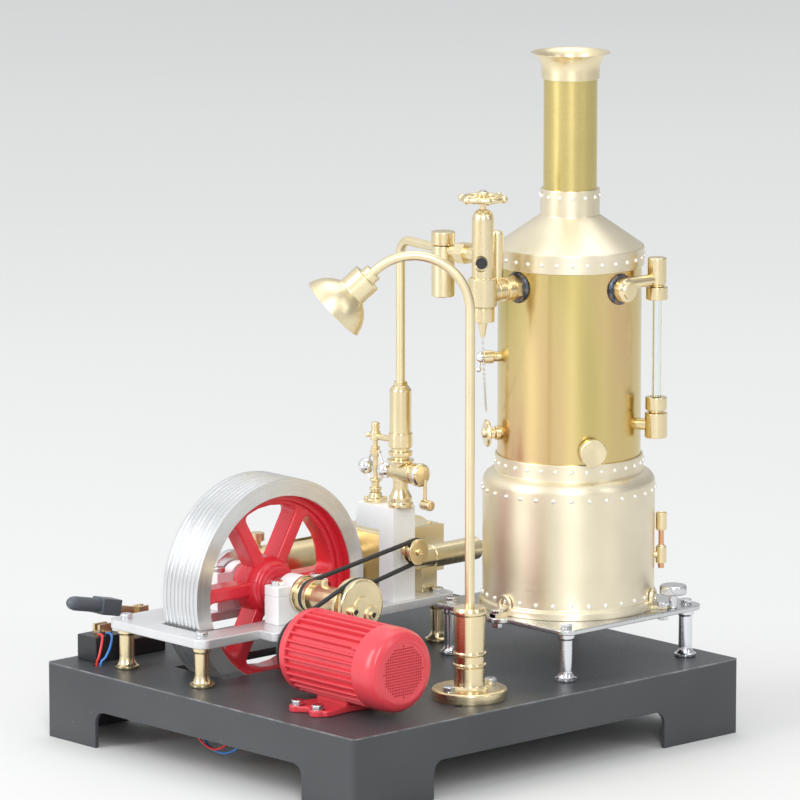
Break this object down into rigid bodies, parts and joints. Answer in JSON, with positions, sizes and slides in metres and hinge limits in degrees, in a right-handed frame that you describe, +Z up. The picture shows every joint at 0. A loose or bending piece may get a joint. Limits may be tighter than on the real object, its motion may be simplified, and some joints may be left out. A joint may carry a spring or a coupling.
{
  "type": "model steam engine",
  "caption": "Upright riveted boiler driving a horizontal mill engine with flywheel, ball governor, belt-driven generator and street lamp, on a folded steel tray.",
  "frame": {"origin": "centre of the tray's footprint, on the surface it stands on", "axes": "+Z up; +X along the tray's 250 mm side, from the switch end towards the boiler; +Y along its 220 mm side, from the lamp side towards the engine side"},
  "size_m": [0.25, 0.22, 0.3294],
  "materials": {
    "tray_black": "satin powder coat, a few worn specks along the edges",
    "satin_aluminium": "satin, turned and milled",
    "white_aluminium": "bead-blasted, nearly white",
    "bright_steel": "bright, fine turned",
    "chrome": "polished",
    "champagne_brass": "pale satin brass",
    "tinted_brass": "heat-tinted polished brass tube",
    "rich_brass": "deep yellow polished brass",
    "satin_brass": "satin turned brass",
    "rivet_silver": "bright snap heads",
    "solder_dark": "dark heat-blued boss rings",
    "red_paint": "gloss red enamel",
    "black_rubber": "matt round belt",
    "black_plastic": "moulded black plastic",
    "grey_plastic": "moulded grey insulation",
    "copper_brass": "brass and copper burner fitting",
    "gauge_glass": "clear tube",
    "bulb_glass": "small clear bulb",
    "wire_sleeve": "PVC sleeve in red, blue and yellow"
  },
  "bodies": {
    "root": {"base_tray": "tray_black", "boiler_plate": "bright_steel", "boiler_legs": "satin_aluminium", "hex_bolts": "bright_steel", "firebox": "champagne_brass", "rivets": "rivet_silver", "firebox_lugs": "champagne_brass", "boiler_shell": "tinted_brass", "boss_rings": "solder_dark", "filler_plug": "satin_brass", "smokebox": "champagne_brass", "chimney_tube": "rich_brass", "chimney_bell": "champagne_brass", "gauge_fittings": "satin_brass", "gauge_glass": "gauge_glass", "burner_jet": "copper_brass", "stop_valve": "satin_brass", "safety_valve": "satin_brass", "lubricator": "satin_brass", "boiler_cocks": "satin_brass", "valve_chain": "chrome", "steam_pipe": "satin_brass", "pipe_coupling": "satin_brass", "throttle_valve": "satin_brass", "governor_standard": "white_aluminium", "governor_base": "satin_brass", "belts": "black_rubber", "engine_bed": "satin_aluminium", "bed_legs": "satin_brass", "bearing_blocks": "white_aluminium", "bearing_caps": "white_aluminium", "engine_cylinder": "satin_brass", "oil_separator": "satin_brass", "generator_housing": "red_paint", "lamp_base": "satin_brass", "lamp_post": "satin_brass", "lamp_shade": "satin_brass", "lamp_bulb": "bulb_glass", "switch_base": "black_plastic", "switch_contacts": "satin_brass", "wiring": "wire_sleeve"},
    "crankshaft": {"crankshaft": "bright_steel", "flywheel_rim": "satin_aluminium", "flywheel_spider": "red_paint", "drive_pulley": "satin_brass"},
    "generator_rotor": {"generator_pulley": "black_plastic"},
    "governor_drive": {"governor_pulley": "satin_brass"},
    "governor_rotor": {"governor_spindle": "satin_brass"},
    "governor_slider": {"governor_sleeve": "satin_brass"},
    "governor_left": {"governor_arm_left": "chrome"},
    "governor_right": {"governor_arm_right": "chrome"},
    "valve_wheel": {"handwheel": "satin_brass"},
    "oiler_lid": {"lubricator_cap": "satin_brass"},
    "burner_knob": {"burner_screw": "bright_steel"},
    "try_cock": {"try_cock_lever": "chrome"},
    "blowdown": {"blowdown_wheel": "satin_brass"},
    "throttle_handle": {"throttle_lever": "satin_brass"},
    "slide_block": {"crosshead": "bright_steel"},
    "rod": {"connecting_rod": "bright_steel"},
    "knife_lever": {"switch_lever": "grey_plastic"}
  },
  "joints": [
    {"name": "crank_spin", "type": "hinge", "parent": "root", "child": "crankshaft", "pos_m": [-0.047, 0.0405, 0.074], "axis": [0, 1, 0], "continuous": true},
    {"name": "generator_spin", "type": "hinge", "parent": "root", "child": "generator_rotor", "pos_m": [-0.081, -0.026, 0.059], "axis": [0, 1, 0], "continuous": true},
    {"name": "governor_pulley_spin", "type": "hinge", "parent": "root", "child": "governor_drive", "pos_m": [0.02, 0.006, 0.086], "axis": [0, 1, 0], "continuous": true},
    {"name": "governor_spin", "type": "hinge", "parent": "root", "child": "governor_rotor", "pos_m": [0.02, 0.0345, 0.12], "axis": [0, 0, 1], "continuous": true},
    {"name": "governor_left_swing", "type": "hinge", "parent": "governor_rotor", "child": "governor_left", "pos_m": [0.02, 0.037, 0.131], "axis": [1, 0, 0], "range_deg": [0, 15]},
    {"name": "governor_right_swing", "type": "hinge", "parent": "governor_rotor", "child": "governor_right", "pos_m": [0.02, 0.032, 0.131], "axis": [-1, 0, 0], "range_deg": [0, 15]},
    {"name": "governor_sleeve_lift", "type": "slide", "parent": "governor_rotor", "child": "governor_slider", "axis": [0, 0, 1], "range_m": [0, 0.002]},
    {"name": "handwheel_turn", "type": "hinge", "parent": "root", "child": "valve_wheel", "pos_m": [0.013, -0.0485, 0.265], "axis": [0, 0, 1], "range_deg": [0, 720]},
    {"name": "lubricator_cap_turn", "type": "hinge", "parent": "root", "child": "oiler_lid", "pos_m": [0.013, -0.021, 0.243], "axis": [0, 0, 1], "range_deg": [0, 720]},
    {"name": "burner_screw_turn", "type": "hinge", "parent": "root", "child": "burner_knob", "pos_m": [0.0985, -0.0915, 0.067], "axis": [0, 0, 1], "range_deg": [0, 720]},
    {"name": "try_cock_turn", "type": "hinge", "parent": "root", "child": "try_cock", "pos_m": [0.03363, -0.0275, 0.184], "axis": [-0.866, 0.5, 0], "range_deg": [0, 90]},
    {"name": "blowdown_turn", "type": "hinge", "parent": "root", "child": "blowdown", "pos_m": [0.03363, -0.0275, 0.147], "axis": [-0.866, 0.5, 0], "range_deg": [0, 360]},
    {"name": "throttle_swing", "type": "hinge", "parent": "root", "child": "throttle_handle", "pos_m": [0.02, 0.0042, 0.124], "axis": [0, 1, 0], "range_deg": [-30, 30]},
    {"name": "crosshead_slide", "type": "slide", "parent": "root", "child": "slide_block", "axis": [1, 0, 0], "range_m": [-0.02, 0]},
    {"name": "rod_swing", "type": "hinge", "parent": "slide_block", "child": "rod", "pos_m": [-0.003, 0.0695, 0.074], "axis": [0, 1, 0], "range_deg": [-17, 17]},
    {"name": "knife_switch_swing", "type": "hinge", "parent": "root", "child": "knife_lever", "pos_m": [-0.076, 0.098, 0.056], "axis": [0, 1, 0], "range_deg": [-10, 75]}
  ],
  "couplings": [
    {"joint": "generator_spin", "follows": "crank_spin", "ratio": 0.9},
    {"joint": "governor_pulley_spin", "follows": "crank_spin", "ratio": 1.25},
    {"joint": "governor_spin", "follows": "crank_spin", "ratio": 1.25},
    {"joint": "governor_right_swing", "follows": "governor_left_swing", "ratio": 1},
    {"joint": "governor_sleeve_lift", "follows": "governor_left_swing", "m_per_rad": 0.0076}
  ]
}
